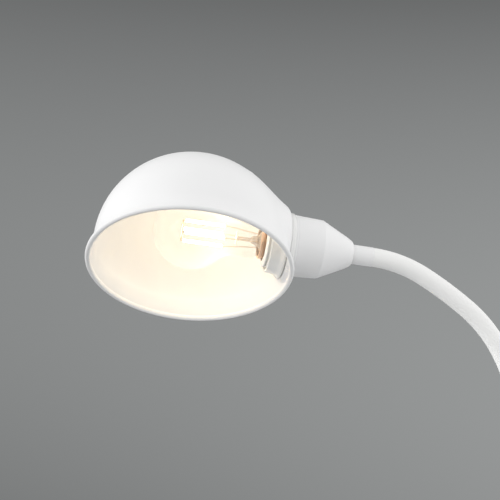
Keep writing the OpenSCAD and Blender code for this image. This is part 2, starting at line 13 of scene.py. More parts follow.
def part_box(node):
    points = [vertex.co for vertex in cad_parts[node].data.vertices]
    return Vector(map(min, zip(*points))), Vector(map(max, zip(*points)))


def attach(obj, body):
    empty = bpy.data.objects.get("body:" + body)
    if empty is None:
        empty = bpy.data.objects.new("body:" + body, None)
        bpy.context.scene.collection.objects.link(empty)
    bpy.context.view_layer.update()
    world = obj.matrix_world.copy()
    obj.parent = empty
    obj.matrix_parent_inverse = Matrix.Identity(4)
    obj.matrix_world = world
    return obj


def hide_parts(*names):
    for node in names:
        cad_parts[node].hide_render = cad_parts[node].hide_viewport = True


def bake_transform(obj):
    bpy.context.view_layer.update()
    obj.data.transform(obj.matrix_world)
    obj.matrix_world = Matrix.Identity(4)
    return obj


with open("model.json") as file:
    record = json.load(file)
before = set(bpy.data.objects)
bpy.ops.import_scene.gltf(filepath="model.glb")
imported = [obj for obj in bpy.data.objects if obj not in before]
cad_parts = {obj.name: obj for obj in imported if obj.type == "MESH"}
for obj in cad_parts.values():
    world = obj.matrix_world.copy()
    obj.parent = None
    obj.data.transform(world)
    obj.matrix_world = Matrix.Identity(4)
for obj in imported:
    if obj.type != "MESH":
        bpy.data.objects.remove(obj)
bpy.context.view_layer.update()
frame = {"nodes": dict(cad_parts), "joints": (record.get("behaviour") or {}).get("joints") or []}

bl_info = {
    "name": "Gooseneck desk lamp",
    "version": (1, 0, 0),
    "blender": (4, 5, 0),
    "location": "View3D > Sidebar > Desk lamp",
    "description": "Builds the shade, lampholder, bulb, flexible arm, base and stage of a desk lamp",
    "category": "Add Mesh",
}

MM = 0.001
JOINTS = {joint["name"]: joint for joint in frame["joints"]}

# ---------------------------------------------------------------- sizes that the pieces share, in mm

# Places along the head's axis, from the arm's end.
FERRULE_L = 17.0  # front of the ferrule, where the cover starts
COVER_END = 66.6  # front edge of the cover
SHELL_Z = 62.7  # rear end of the screw shell
SEAT_Z = 70.8  # back of the shade's flat seat
SEAT_S = 73.5  # from the dome's axis out to that seat
SHADE_Z = SEAT_Z + SEAT_S

NIPPLE_BORE = 5.1  # radius of the holes that the nipples go through
RING_THREAD_R = 20.0  # radius of the thread that the shade ring runs on
RING_PITCH = 2.5
CAP_PITCH = 3.6  # pitch of the bulb's cap and its shell

ARM_Z = 43.0  # height of the arm's lower end
SECTION_L = 45.0  # length of one section of the arm
TURNS = (0, 0, 0, 12, 16, 22, 8, 24)  # degrees that each section turns at rest
RING_JOINT = 4  # joint, counted from the base, where a ring covers two stiff halves
SLEEVE_SIDES = 56
LEAD_SIDES = 20

BASE_H = 23.0  # height of the base's top


# ---------------------------------------------------------------- frames

def head_matrix():
    """The head's frame: Z runs from the arm's end to the shade."""
    joint = JOINTS["head_turn"]
    z = Vector(joint["axis"]).normalized()
    y = Vector((0, 1, 0))
    x = y.cross(z)
    m = Matrix((x, y, z)).transposed().to_4x4()
    m.translation = Vector(joint["pos_m"])
    return m


def shade_matrix(roll):
    """The dome's frame on the lampholder's axis: X to the apex, Z back to the arm."""
    head = head_matrix()
    x = head.to_3x3() @ Vector((math.cos(roll), math.sin(roll), 0))
    z = -(head.to_3x3() @ Vector((0, 0, 1)))
    m = Matrix((x, z.cross(x), z)).transposed().to_4x4()
    m.translation = head @ Vector((0, 0, SHADE_Z * MM))
    return m


def dome_matrix(roll, rise):
    """The dome's own frame: Z to the apex, X towards the arm, origin at the sphere's centre."""
    shade = shade_matrix(roll).to_3x3()
    z = shade @ Vector((1, 0, 0))
    x = shade @ Vector((0, 0, 1))
    m = Matrix((x, z.cross(x), z)).transposed().to_4x4()
    m.translation = shade_matrix(roll) @ Vector((-rise, 0, 0))
    return m


def section_matrix(index):
    """Frame at the lower end of an arm section, Z along the arm."""
    x, z, heading = 0.0, ARM_Z, 0.0
    for turn in TURNS[:index]:
        a, b = math.radians(heading), math.radians(heading + turn)
        if turn:
            r = SECTION_L / math.radians(turn)
            x -= r * (math.cos(a) - math.cos(b))
            z += r * (math.sin(b) - math.sin(a))
        else:
            x -= SECTION_L * math.sin(a)
            z += SECTION_L * math.cos(a)
        heading += turn
    return Matrix.Translation((x * MM, 0, z * MM)) @ Matrix.Rotation(-math.radians(heading), 4, "Y")


# ---------------------------------------------------------------- mesh helpers

def arc(cx, cy, r, start, end, steps):
    """Points on a circle between two angles in degrees, both ends included."""
    return [
        (cx + r * math.cos(math.radians(start + (end - start) * k / steps)),
         cy + r * math.sin(math.radians(start + (end - start) * k / steps)))
        for k in range(steps + 1)
    ]


def rounded(corners, closed=False, steps=6):
    """A path through corners (x, y, radius) with each corner rounded to its radius."""
    path, count = [], len(corners)
    for k, (x, y, radius) in enumerate(corners):
        p = Vector((x, y))
        if radius <= 0 or (not closed and k in (0, count - 1)):
            path.append((x, y))
            continue
        a = Vector(corners[k - 1][:2]) - p
        b = Vector(corners[(k + 1) % count][:2]) - p
        half = a.angle(b) / 2
        reach = min(radius / math.tan(half), 0.499 * a.length, 0.499 * b.length)
        r = reach * math.tan(half)
        centre = p + (a.normalized() + b.normalized()).normalized() * (r / math.sin(half))
        first, last = p + a.normalized() * reach - centre, p + b.normalized() * reach - centre
        sweep = first.angle_signed(last)
        for j in range(steps + 1):
            turn = -sweep * j / steps
            c, s = math.cos(turn), math.sin(turn)
            path.append((centre.x + first.x * c - first.y * s, centre.y + first.x * s + first.y * c))
    return path


def lathe(path, steps=96, closed=True):
    """Turns a path of (radius, height) in mm about Z into a mesh."""
    bm = bmesh.new()
    verts = [bm.verts.new((r * MM, 0, z * MM)) for r, z in path]
    edges = [bm.edges.new(pair) for pair in zip(verts, verts[1:])]
    if closed:
        edges.append(bm.edges.new((verts[-1], verts[0])))
    bmesh.ops.spin(bm, geom=verts + edges, cent=(0, 0, 0), axis=(0, 0, 1), dvec=(0, 0, 0),
                   angle=2 * math.pi, steps=steps, use_merge=True, use_duplicate=False)
    bmesh.ops.remove_doubles(bm, verts=bm.verts, dist=1e-7)
    return bm


def wind(bm, pitch, depth, low, high, fade=1.5):
    """Presses a helical thread into the lathed wall between two heights, all in mm.

    The thread grows from nothing to its full depth over the length of fade at both ends.
    """
    for v in bm.verts:
        z, r = v.co.z / MM, math.hypot(v.co.x, v.co.y)
        if r < 1e-6 or not low <= z <= high:
            continue
        window = min(1.0, (z - low) / fade, (high - z) / fade)
        phase = 2 * math.pi * z / pitch - math.atan2(v.co.y, v.co.x)
        scale = 1 + depth * MM * window * 0.5 * (math.cos(phase) - 1) / r
        v.co.x *= scale
        v.co.y *= scale


def sweep(radius, first, last, sides, straight_steps=10, step_deg=1.5):
    """A round tube along the arm, open at both ends, between two places counted in sections."""
    bm = bmesh.new()
    k = int(first)
    bmesh.ops.create_circle(bm, cap_ends=False, radius=radius * MM, segments=sides)
    bmesh.ops.transform(bm, matrix=section_matrix(k) @ part_way(TURNS[k], first - k), verts=bm.verts)
    geom = list(bm.verts) + list(bm.edges)
    at = first
    while at < last:
        k = int(at)
        upto = min(last, k + 1)
        share, turn = upto - at, TURNS[k]
        here = section_matrix(k) @ part_way(turn, at - k)
        count = max(4, round(abs(turn) * share / step_deg)) if turn else straight_steps
        if turn:
            r = SECTION_L / math.radians(turn) * MM
            done = bmesh.ops.spin(bm, geom=geom, cent=here @ Vector((-r, 0, 0)), axis=(0, -1, 0),
                                  dvec=(0, 0, 0), angle=math.radians(turn) * share, steps=count)
        else:
            step = here.to_3x3() @ Vector((0, 0, SECTION_L * share * MM / count))
            done = bmesh.ops.spin(bm, geom=geom, cent=(0, 0, 0), axis=(0, -1, 0),
                                  dvec=step, angle=0, steps=count)
        geom = [g for g in done["geom_last"] if not isinstance(g, bmesh.types.BMFace)]
        at = upto
    return bm


def part_way(turn, part):
    """From the lower end of a section to a share of its length, along its bend."""
    if not turn:
        return Matrix.Translation((0, 0, SECTION_L * part * MM))
    r = SECTION_L / math.radians(turn) * MM
    a = math.radians(turn) * part
    return Matrix.Translation((-r * (1 - math.cos(a)), 0, r * math.sin(a))) @ Matrix.Rotation(-a, 4, "Y")


def join(*meshes):
    """Puts several bmeshes in one."""
    whole = meshes[0]
    for bm in meshes[1:]:
        scratch = bpy.data.meshes.new("scratch")
        bm.to_mesh(scratch)
        bm.free()
        whole.from_mesh(scratch)
        bpy.data.meshes.remove(scratch)
    return whole


def place(bm, matrix):
    """Moves a bmesh to its place and hands it back."""
    bmesh.ops.transform(bm, matrix=matrix, verts=bm.verts)
    return bm


def finish_piece(name, bm, body, material, replaces=(), sharp=35.0, outward=True):
    """Makes the mesh a piece of the lamp that rides on its body, or on none when no body is given."""
    if outward:
        bmesh.ops.recalc_face_normals(bm, faces=bm.faces)
    mesh = bpy.data.meshes.new(name)
    bm.to_mesh(mesh)
    bm.free()
    mesh.shade_smooth()
    mesh.set_sharp_from_angle(angle=math.radians(sharp))
    piece = bpy.data.objects.new(name, mesh)
    bpy.context.scene.collection.objects.link(piece)
    mesh.materials.append(material)
    if body:
        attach(piece, body)
    if replaces:
        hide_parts(*replaces)
    return piece


def cut(piece, cutter_bm):
    """Cuts a bmesh out of a piece for good."""
    mesh = bpy.data.meshes.new("cutter")
    cutter_bm.to_mesh(mesh)
    cutter_bm.free()
    cutter = bpy.data.objects.new("cutter", mesh)
    bpy.context.scene.collection.objects.link(cutter)
    modifier = piece.modifiers.new("cut", "BOOLEAN")
    modifier.operation, modifier.solver, modifier.object = "DIFFERENCE", "EXACT", cutter
    shaped = bpy.data.meshes.new_from_object(
        piece.evaluated_get(bpy.context.evaluated_depsgraph_get()))
    piece.modifiers.clear()
    old, piece.data = piece.data, shaped
    shaped.name = piece.name
    bpy.data.meshes.remove(old)
    bpy.data.objects.remove(cutter)
    bpy.data.meshes.remove(mesh)


def drill(piece, radius, matrix, depth=10.0, sides=64):
    """Drills a round hole of a radius in mm through a piece, along Z of the given place."""
    hole = bmesh.new()
    bmesh.ops.create_cone(hole, cap_ends=True, segments=sides, radius1=radius * MM, radius2=radius * MM,
                          depth=depth * MM)
    cut(piece, place(hole, matrix))


def dress(material, *nodes):
    """Gives CAD nodes whose shape stays their finish."""
    for node in nodes:
        materials = frame["nodes"][node].data.materials
        materials.clear()
        materials.append(material)


# ---------------------------------------------------------------- finishes

def coat(name, colour, roughness, metallic=0.0, tint=0.02, tint_scale=35.0, grain_scale=900.0,
         grain_mm=0.02, spread=0.05, **sockets):
    """A finish with slow colour drift, uneven gloss and a fine grain, on Object coordinates."""
    material = bpy.data.materials.get(name)
    if material:
        return material
    material = bpy.data.materials.new(name)
    material.use_nodes = True
    nodes, links = material.node_tree.nodes, material.node_tree.links
    shader = nodes["Principled BSDF"]
    shader.inputs["Metallic"].default_value = metallic
    for socket, value in sockets.items():
        shader.inputs[socket.replace("_", " ")].default_value = value
    coordinates = nodes.new("ShaderNodeTexCoord")

    drift = nodes.new("ShaderNodeTexNoise")
    drift.inputs["Scale"].default_value = tint_scale
    drift.inputs["Detail"].default_value = 4
    ramp = nodes.new("ShaderNodeValToRGB")
    ramp.color_ramp.elements[0].position, ramp.color_ramp.elements[1].position = 0.3, 0.7
    ramp.color_ramp.elements[0].color = [max(0, c * (1 - tint)) for c in colour] + [1]
    ramp.color_ramp.elements[1].color = [min(1, c * (1 + tint * 0.3)) for c in colour] + [1]
    links.new(coordinates.outputs["Object"], drift.inputs["Vector"])
    links.new(drift.outputs["Fac"], ramp.inputs["Fac"])
    links.new(ramp.outputs["Color"], shader.inputs["Base Color"])

    gloss = nodes.new("ShaderNodeMapRange")
    gloss.inputs["To Min"].default_value = max(0.02, roughness - spread)
    gloss.inputs["To Max"].default_value = min(1, roughness + spread)
    grain = nodes.new("ShaderNodeTexNoise")
    grain.inputs["Scale"].default_value = grain_scale
    grain.inputs["Detail"].default_value = 3
    bump = nodes.new("ShaderNodeBump")
    bump.inputs["Distance"].default_value = grain_mm * MM
    links.new(coordinates.outputs["Object"], grain.inputs["Vector"])
    links.new(drift.outputs["Fac"], gloss.inputs["Value"])
    links.new(gloss.outputs["Result"], shader.inputs["Roughness"])
    links.new(grain.outputs["Fac"], bump.inputs["Height"])
    links.new(bump.outputs["Normal"], shader.inputs["Normal"])
    return material


def clear_glass(name, colour, facing, grazing):
    """Thin clear glass: nearly open face on, and denser where it turns away."""
    material = coat(name, colour, 0.04, tint=0.01, grain_mm=0.002, grain_scale=120, spread=0.02, IOR=1.5)
    nodes, links = material.node_tree.nodes, material.node_tree.links
    edge = nodes.new("ShaderNodeLayerWeight")
    edge.inputs["Blend"].default_value = 0.3
    alpha = nodes.new("ShaderNodeMapRange")
    alpha.inputs["To Min"].default_value = facing
    alpha.inputs["To Max"].default_value = grazing
    links.new(edge.outputs["Facing"], alpha.inputs["Value"])
    links.new(alpha.outputs["Result"], nodes["Principled BSDF"].inputs["Alpha"])
    return material


def glowing(name, colour, strength):
    """A finish that gives light of its own."""
    material = coat(name, colour, 0.5, tint=0.05, tint_scale=400, grain_mm=0.05, grain_scale=1500)
    shader = material.node_tree.nodes["Principled BSDF"]
    shader.inputs["Emission Color"].default_value = (*colour, 1)
    shader.inputs["Emission Strength"].default_value = strength
    return material


def powder_coat(name="white_powder_coat"):
    """White paint of the shade, the cover and the base."""
    return coat(name, bpy.context.scene.lamp_finishes.coat, 0.46, tint=0.012,
                grain_scale=1100, grain_mm=0.012, spread=0.04, Specular_IOR_Level=0.2)


def zinc():
    """Zinc-plated steel of the nuts, nipples, screws and plate."""
    return coat("zinc_plated_steel", (0.62, 0.63, 0.65), 0.34, 1.0, tint=0.12, tint_scale=90,
                grain_scale=2500, grain_mm=0.008, spread=0.1)


def brass():
    """Brass of the bulb's cap and the contacts."""
    return coat("bright_brass", bpy.context.scene.lamp_finishes.brass, 0.36, 0.85, tint=0.12,
                tint_scale=120, grain_scale=1800, grain_mm=0.006, spread=0.1)


def moulded(name, colour, roughness=0.3):
    """Moulded plastic or another smooth cast stuff."""
    return coat(name, colour, roughness, tint=0.015, grain_scale=1600, grain_mm=0.006, spread=0.05)


# ---------------------------------------------------------------- properties

class LampFinishes(bpy.types.PropertyGroup):
    """Colours of the lamp's finishes"""
    coat: FloatVectorProperty(
        name="Powder coat", description="Colour of the shade, cover and base",
        subtype="COLOR", min=0, max=1, default=(0.84, 0.84, 0.84))
    sleeve: FloatVectorProperty(
        name="Sleeve", description="Colour of the flexible arm's sleeve",
        subtype="COLOR", min=0, max=1, default=(0.85, 0.86, 0.855))
    plastic: FloatVectorProperty(
        name="White plastic", description="Colour of the spacer, button and bezel",
        subtype="COLOR", min=0, max=1, default=(0.93, 0.93, 0.925))
    holder: FloatVectorProperty(
        name="Lampholder", description="Colour of the lampholder's skirt and ring",
        subtype="COLOR", min=0, max=1, default=(0.88, 0.85, 0.83))
    brass: FloatVectorProperty(
        name="Brass", description="Colour of the bulb's cap and the contacts",
        subtype="COLOR", min=0, max=1, default=(0.93, 0.66, 0.48))
    glow: FloatVectorProperty(
        name="Glow", description="Colour of the lit filaments",
        subtype="COLOR", min=0, max=1, default=(1.0, 0.80, 0.52))


class ShadeSizes(bpy.types.PropertyGroup):
    """Sizes of the pressed shade"""
    dome_r: FloatProperty(name="Dome radius", description="Outer radius of the dome, mm", default=75.0)
    wall: FloatProperty(name="Sheet", description="Thickness of the sheet, mm", default=1.0)
    flare_h: FloatProperty(name="Flare depth", description="Depth of the flared band, mm", default=15.8)
    flare_out: FloatProperty(name="Flare", description="How far the flare widens the radius, mm",
                             default=2.9)
    bead_r: FloatProperty(name="Bead", description="Radius of the rolled bead, mm", default=2.0)
    rise: FloatProperty(name="Rise", description="From the sphere's centre up to the lampholder's axis, mm",
                        default=17.0)
    roll: FloatProperty(name="Roll", description="Turn of the shade about the lampholder",
                        subtype="ANGLE", default=math.radians(33))
    seat_r: FloatProperty(name="Seat", description="Radius of the boss's flat seat, mm", default=27.4)
    boss_round: FloatProperty(name="Boss edge", description="Radius that rounds the boss, mm",
                              default=4.5)
    boss_slope: FloatProperty(name="Boss slope", description="Half angle of the boss's cone",
                              subtype="ANGLE", default=math.radians(28))
    boss_blend: FloatProperty(name="Boss blend", default=9.0,
                              description="Width of the hollow where the boss meets the dome, mm")
    columns: IntProperty(name="Columns", description="Divisions round the dome", default=320)


class BulbSizes(bpy.types.PropertyGroup):
    """Sizes and light of the bulb"""
    glass_r: FloatProperty(name="Glass radius", description="Radius of the glass bulb, mm", default=30.0)
    glass_shift: FloatProperty(name="Glass shift", default=1.0,
                               description="From the dome's axis to the bulb's centre, mm")
    neck_r: FloatProperty(name="Neck radius", description="Radius of the glass neck, mm", default=14.4)
    filament_l: FloatProperty(name="Filament", description="Length of a filament, mm", default=34.0)
    filament_ring: FloatProperty(name="Filament circle", description="Radius of the filaments' circle, mm",
                                 default=8.0)
    glow: FloatProperty(name="Glow", description="Strength of the lit filaments", default=22.0)
    lamp_watts: FloatProperty(name="Light", description="Light that the bulb gives",
                              subtype="POWER", default=0.045)


class ArmSizes(bpy.types.PropertyGroup):
    """Sizes of the flexible arm"""
    sleeve_r: FloatProperty(name="Sleeve radius", description="Outer radius of the sleeve, mm", default=7.5)
    sleeve_bore: FloatProperty(name="Sleeve bore", description="Inner radius of the sleeve, mm",
                               default=6.75)
    lead_r: FloatProperty(name="Lead radius", description="Radius of the lead in the arm, mm", default=2.5)


class BaseSizes(bpy.types.PropertyGroup):
    """Sizes of the base"""
    radius: FloatProperty(name="Radius", description="Radius of the base, mm", default=86.0)
    edge_r: FloatProperty(name="Edge", description="Radius of the base's rounded edge, mm", default=9.0)
    reach: FloatProperty(name="Switch reach", description="From the arm to the button, mm", default=56.0)


class StageSettings(bpy.types.PropertyGroup):
    """Colours and light of the stage, and the camera's place"""
    backdrop: FloatVectorProperty(
        name="Backdrop", description="Colour of the backdrop at the camera's height",
        subtype="COLOR", min=0, max=1, default=(0.267, 0.275, 0.275))
    fall: FloatProperty(name="Fall", description="How fast the backdrop darkens upwards", default=0.76)
    arch: FloatProperty(name="Arch", description="How fast it darkens away from the camera's height",
                        default=5.1)
    drift: FloatProperty(name="Drift", description="How fast it brightens to the right", default=0.32)
    skew: FloatProperty(name="Skew", description="How much more it does so lower down", default=1.8)
    floor: FloatVectorProperty(
        name="Floor", description="Colour of the floor", subtype="COLOR", min=0, max=1,
        default=(0.60, 0.61, 0.62))
    sides: FloatProperty(name="Sides", description="Light from above on both sides", default=1.53)
    low_sides: FloatProperty(name="Low sides", description="Light from both sides at any height",
                             default=1.35)
    front: FloatProperty(name="Front", description="Light from above in front", default=1.42)
    back: FloatProperty(name="Back", description="Light from above behind", default=0.9)
    lean: FloatProperty(name="Lean", description="Share by which the left gives more light than the right",
                        default=0.10)
    distance: FloatProperty(name="Camera distance", description="From the camera to the dome's centre",
                            unit="LENGTH", default=0.80913)
    yaw: FloatProperty(name="Camera yaw", description="Turn of the camera about the vertical",
                       subtype="ANGLE", default=math.radians(7.8))


# ---------------------------------------------------------------- shade

def smooth_min(a, b, k):
    """The smaller of two distances, with their crossing rounded over a width."""
    h = np.clip(1 - np.abs(a - b) / k, 0, 1)
    return np.minimum(a, b) - h * h * k / 4


class LAMP_OT_shade(bpy.types.Operator):
    """Pressed dome with a flared band, a rolled bead and a boss for the lampholder"""
    bl_idname = "lamp.shade"
    bl_label = "Shade"
    hole_r = 20.3
    # The boss is shaped this far past its seat, and the flat seat is then cut into its crown.
    crown_over = 0.4
    # The boss's skin and its hole lie between these distances from the dome's centre.
    reach = (60.0, 90.0)
    halvings = 34
    # Only columns up to this angle from the boss move, crowded by this share towards it.
    boss_side = math.radians(75)
    crowding = 0.65
    bead_gap = 0.05

    def flare_at(self, sizes, z):
        """How far the flared band stands out of the cylinder at a height below the dome."""
        turn = 2 * math.atan(sizes.flare_out / sizes.flare_h)
        r = sizes.flare_h / math.sin(turn)
        return r - np.sqrt(np.maximum(0, r * r - np.minimum(z, 0) ** 2))

    def field(self, sizes, p):
        """Signed distance, in mm, from the shade's outer skin in the dome's frame."""
        x, y, z = p[:, 0], p[:, 1], p[:, 2]
        dome = np.where(z > 0, np.linalg.norm(p, axis=1) - sizes.dome_r,
                        np.hypot(x, y) - sizes.dome_r - self.flare_at(sizes, z))
        r = np.hypot(y, z - sizes.rise)
        slope, round_r = sizes.boss_slope, sizes.boss_round
        crown = SEAT_S + self.crown_over
        at = sizes.seat_r - math.sqrt(round_r ** 2 - (round_r - self.crown_over) ** 2)
        touch_r, touch_s = at + round_r * math.cos(slope), crown - round_r + round_r * math.sin(slope)
        down = touch_s - np.maximum(x, sizes.dome_r / 2)
        flank = (r - touch_r - down * math.tan(slope)) * math.cos(slope)
        top = x - crown
        a, b = flank + round_r, top + round_r
        boss = np.minimum(np.maximum(a, b), 0) + np.hypot(np.maximum(a, 0), np.maximum(b, 0)) - round_r
        # The hollow between boss and dome runs out towards the rim.
        out_at, out_over, least = -6, 16, 0.05
        width = np.clip((z - out_at) / out_over, least, 1) * sizes.boss_blend
        body = smooth_min(dome, boss, width)
        pocket_over, pocket_round = 1.2, 0.5
        pocket = np.maximum(SEAT_S - x, r - sizes.seat_r - pocket_over)
        return -smooth_min(-body, pocket, pocket_round)

    def press(self, sizes, mesh):
        """Moves the dome's skins out to the boss, each point along its own ray from the centre.

        The columns are first drawn together towards the boss, so that it gets finer faces.
        """
        co = np.empty(len(mesh.vertices) * 3)
        mesh.vertices.foreach_get("co", co)
        p = co.reshape(-1, 3) / MM
        angle = np.arctan2(p[:, 1], p[:, 0])
        angle -= self.crowding * np.sin(angle)
        flat = np.hypot(p[:, 0], p[:, 1])
        p[:, 0], p[:, 1] = flat * np.cos(angle), flat * np.sin(angle)
        dome = np.where(p[:, 2] > 0, np.linalg.norm(p, axis=1) - sizes.dome_r,
                        flat - sizes.dome_r - self.flare_at(sizes, p[:, 2]))
        over_bead = p[:, 2] > -sizes.flare_h + sizes.bead_r + self.bead_gap
        chosen = over_bead & (np.abs(angle) < self.boss_side)
        inset = np.where(dome > -sizes.wall / 2, 0, sizes.wall)[chosen]
        ray = p[chosen] / np.linalg.norm(p[chosen], axis=1)[:, None]
        low, high = (np.full(len(ray), end) for end in self.reach)
        for _ in range(self.halvings):
            middle = (low + high) / 2
            outside = self.field(sizes, ray * middle[:, None]) + inset > 0
            high, low = np.where(outside, middle, high), np.where(outside, low, middle)
        p[chosen] = ray * ((low + high) / 2)[:, None]
        mesh.vertices.foreach_set("co", (p * MM).ravel())
        mesh.update()

    def execute(self, context):
        sizes = context.scene.lamp_shade
        rim_r = sizes.dome_r + sizes.flare_out - sizes.wall / 2
        bead_top = -sizes.flare_h + sizes.bead_r
        outer = arc(0, 0, sizes.dome_r, 90, 0, 100)
        outer[0] = (0, sizes.dome_r)
        outer += [(sizes.dome_r + float(self.flare_at(sizes, np.array(z))), z)
                  for z in np.linspace(0, bead_top + self.bead_gap, 19)[1:]]
        bead = arc(rim_r, -sizes.flare_h, sizes.bead_r, 84, -236, 36)
        inner = [(sizes.dome_r - sizes.wall + float(self.flare_at(sizes, np.array(z))), z)
                 for z in np.linspace(bead_top - 0.25, 0, 15)[:-1]]
        inner += arc(0, 0, sizes.dome_r - sizes.wall, 0, 90, 84)
        inner[-1] = (0, sizes.dome_r - sizes.wall)
        bm = lathe(outer + bead + inner, sizes.columns, closed=False)
        bmesh.ops.recalc_face_normals(bm, faces=bm.faces)
        piece = finish_piece("shade_pressing", bm, "head", powder_coat("shade_powder_coat"),
                             ("shade",), outward=False)
        self.press(sizes, piece.data)
        near, far = self.reach
        hole = lathe([(0, near), (self.hole_r, near), (self.hole_r, far), (0, far)], 96, closed=False)
        bmesh.ops.recalc_face_normals(hole, faces=hole.faces)
        place(hole, Matrix.Translation((0, 0, sizes.rise * MM)) @ Matrix.Rotation(math.pi / 2, 4, "Y"))
        cut(piece, hole)
        piece.data.transform(dome_matrix(sizes.roll, sizes.rise * MM))
        piece.data.set_sharp_from_angle(angle=math.radians(40))
        return {"FINISHED"}


# ---------------------------------------------------------------- cover and lampholder

class LAMP_OT_holder_cover(bpy.types.Operator):
    """Cylinder-and-cone cover, the spacer against the shade and the ferrule on the arm"""
    bl_idname = "lamp.holder_cover"
    bl_label = "Lampholder cover"

    def execute(self, context):
        head = head_matrix()
        cover = rounded([
            (NIPPLE_BORE, FERRULE_L, 0), (9.4, FERRULE_L, 3.4), (12.2, 21.4, 2.2), (23.2, 43.6, 0.6),
            (24.2, COVER_END - 2.0, 0.3), (23.9, COVER_END - 1.7, 0.2), (24.3, COVER_END - 1.4, 0.4),
            (24.35, COVER_END - 0.02, 0.12), (23.2, COVER_END - 0.05, 0.3), (22.4, 43.9, 0.5),
            (11.4, 21.9, 2), (9.0, FERRULE_L + 1.0, 2.2), (NIPPLE_BORE, FERRULE_L + 1.0, 0),
        ], closed=True, steps=7)
        finish_piece("lampholder_cover", place(lathe(cover, 144), head), "head",
                     powder_coat(), ("holder_cover",))
        spacer = rounded([
            (20.5, COVER_END, 0.2), (24.4, COVER_END, 0.05), (25.2, COVER_END + 0.9, 0.7),
            (25.5, SEAT_Z - 0.9, 0.5), (24.6, SEAT_Z, 0.4), (20.5, SEAT_Z, 0.2),
        ], closed=True)
        finish_piece("spacer", place(lathe(spacer, 144), head), "head",
                     moulded("white_plastic", context.scene.lamp_finishes.plastic), ("spacer_ring",))
        ferrule = rounded([
            (NIPPLE_BORE, 8.4, 0.1), (5.8, 8.4, 0.1), (5.8, 0, 0.1), (7.72, 0, 0.35), (7.75, 1.6, 0.2),
            (7.62, 1.9, 0.1), (7.75, 2.2, 0.2), (7.75, FERRULE_L, 0.4), (NIPPLE_BORE, FERRULE_L, 0.1),
        ], closed=True, steps=4)
        finish_piece("arm_ferrule", place(lathe(ferrule, 96), head), "arm_8",
                     powder_coat(), ("head_ferrule",))
        dress(zinc(), "head_nipple", "swivel_nut", "swivel_washer")
        return {"FINISHED"}


class LAMP_OT_lampholder(bpy.types.Operator):
    """Screw lampholder: rear cap, threaded skirt, shade ring, contacts and screw shell"""
    bl_idname = "lamp.lampholder"
    bl_label = "Lampholder"

    def execute(self, context):
        head = head_matrix()
        holder = moulded("holder_plastic", context.scene.lamp_finishes.holder, 0.26)
        dress(holder, "holder_cap")
        dress(moulded("steatite", (0.80, 0.77, 0.71), 0.42), "terminal_block")
        dress(zinc(), "terminal_screws")
        dress(brass(), "centre_contact")

        root, mouth = 54.6, SEAT_Z + 17.5
        r, bore, collar_r, step = RING_THREAD_R, 14.3, 21.6, 0.14
        thread_end = mouth - 2.0
        back = rounded([(bore, root, 0.1), (collar_r, root, 0.3), (collar_r, COVER_END, 0.3),
                        (r, COVER_END, 0)])
        wall = [(r, COVER_END + step * k) for k in range(1, round((thread_end - COVER_END) / step))]
        front = rounded([(r, thread_end, 0), (19.8, mouth - 1.2, 0.8), (15.6, mouth, 0.7),
                         (14.9, mouth - 0.8, 0.5), (14.7, SHELL_Z, 0.2), (bore, SHELL_Z, 0)])
        bm = lathe(back + wall + front, 128)
        wind(bm, RING_PITCH, 0.8, COVER_END + 0.3, thread_end - 0.1)
        finish_piece("lampholder_skirt", place(bm, head), "head", holder,
                     ("holder_skirt",))

        sheet = context.scene.lamp_shade.wall
        inside = SEAT_Z + sheet
        ring = rounded([
            (20.1, inside, 0.1), (25.3, inside, 0.4), (27.1, inside + 1.3, 0.5), (27.1, inside + 2.6, 0.4),
            (24.9, inside + 4.9, 0.8), (24.0, inside + 8, 0.8), (23.5, inside + 12.4, 0.4),
            (22.9, inside + 13, 0.3), (21.6, inside + 13, 0.3), (21.4, inside + 8, 0.3),
            (20.1, inside + 7.5, 0.2),
        ], closed=True)
        bm = lathe(ring, 144)
        finish_piece("shade_clamp_ring", place(bm, head), "head", holder, ("shade_ring",))

        shell_r, shell_wall, step = 13.8, 0.35, 0.2
        shell = [(shell_r, SHELL_Z + step * k) for k in range(108)]
        lining = [(shell_r - shell_wall, z) for _, z in reversed(shell)]
        bm = lathe(shell + lining, 96)
        wind(bm, CAP_PITCH, 0.25, SHELL_Z + 0.8, SHELL_Z + 20.3)
        finish_piece("screw_shell_sheet", place(bm, head), "head", brass(), ("screw_shell",))
        return {"FINISHED"}


# ---------------------------------------------------------------- bulb

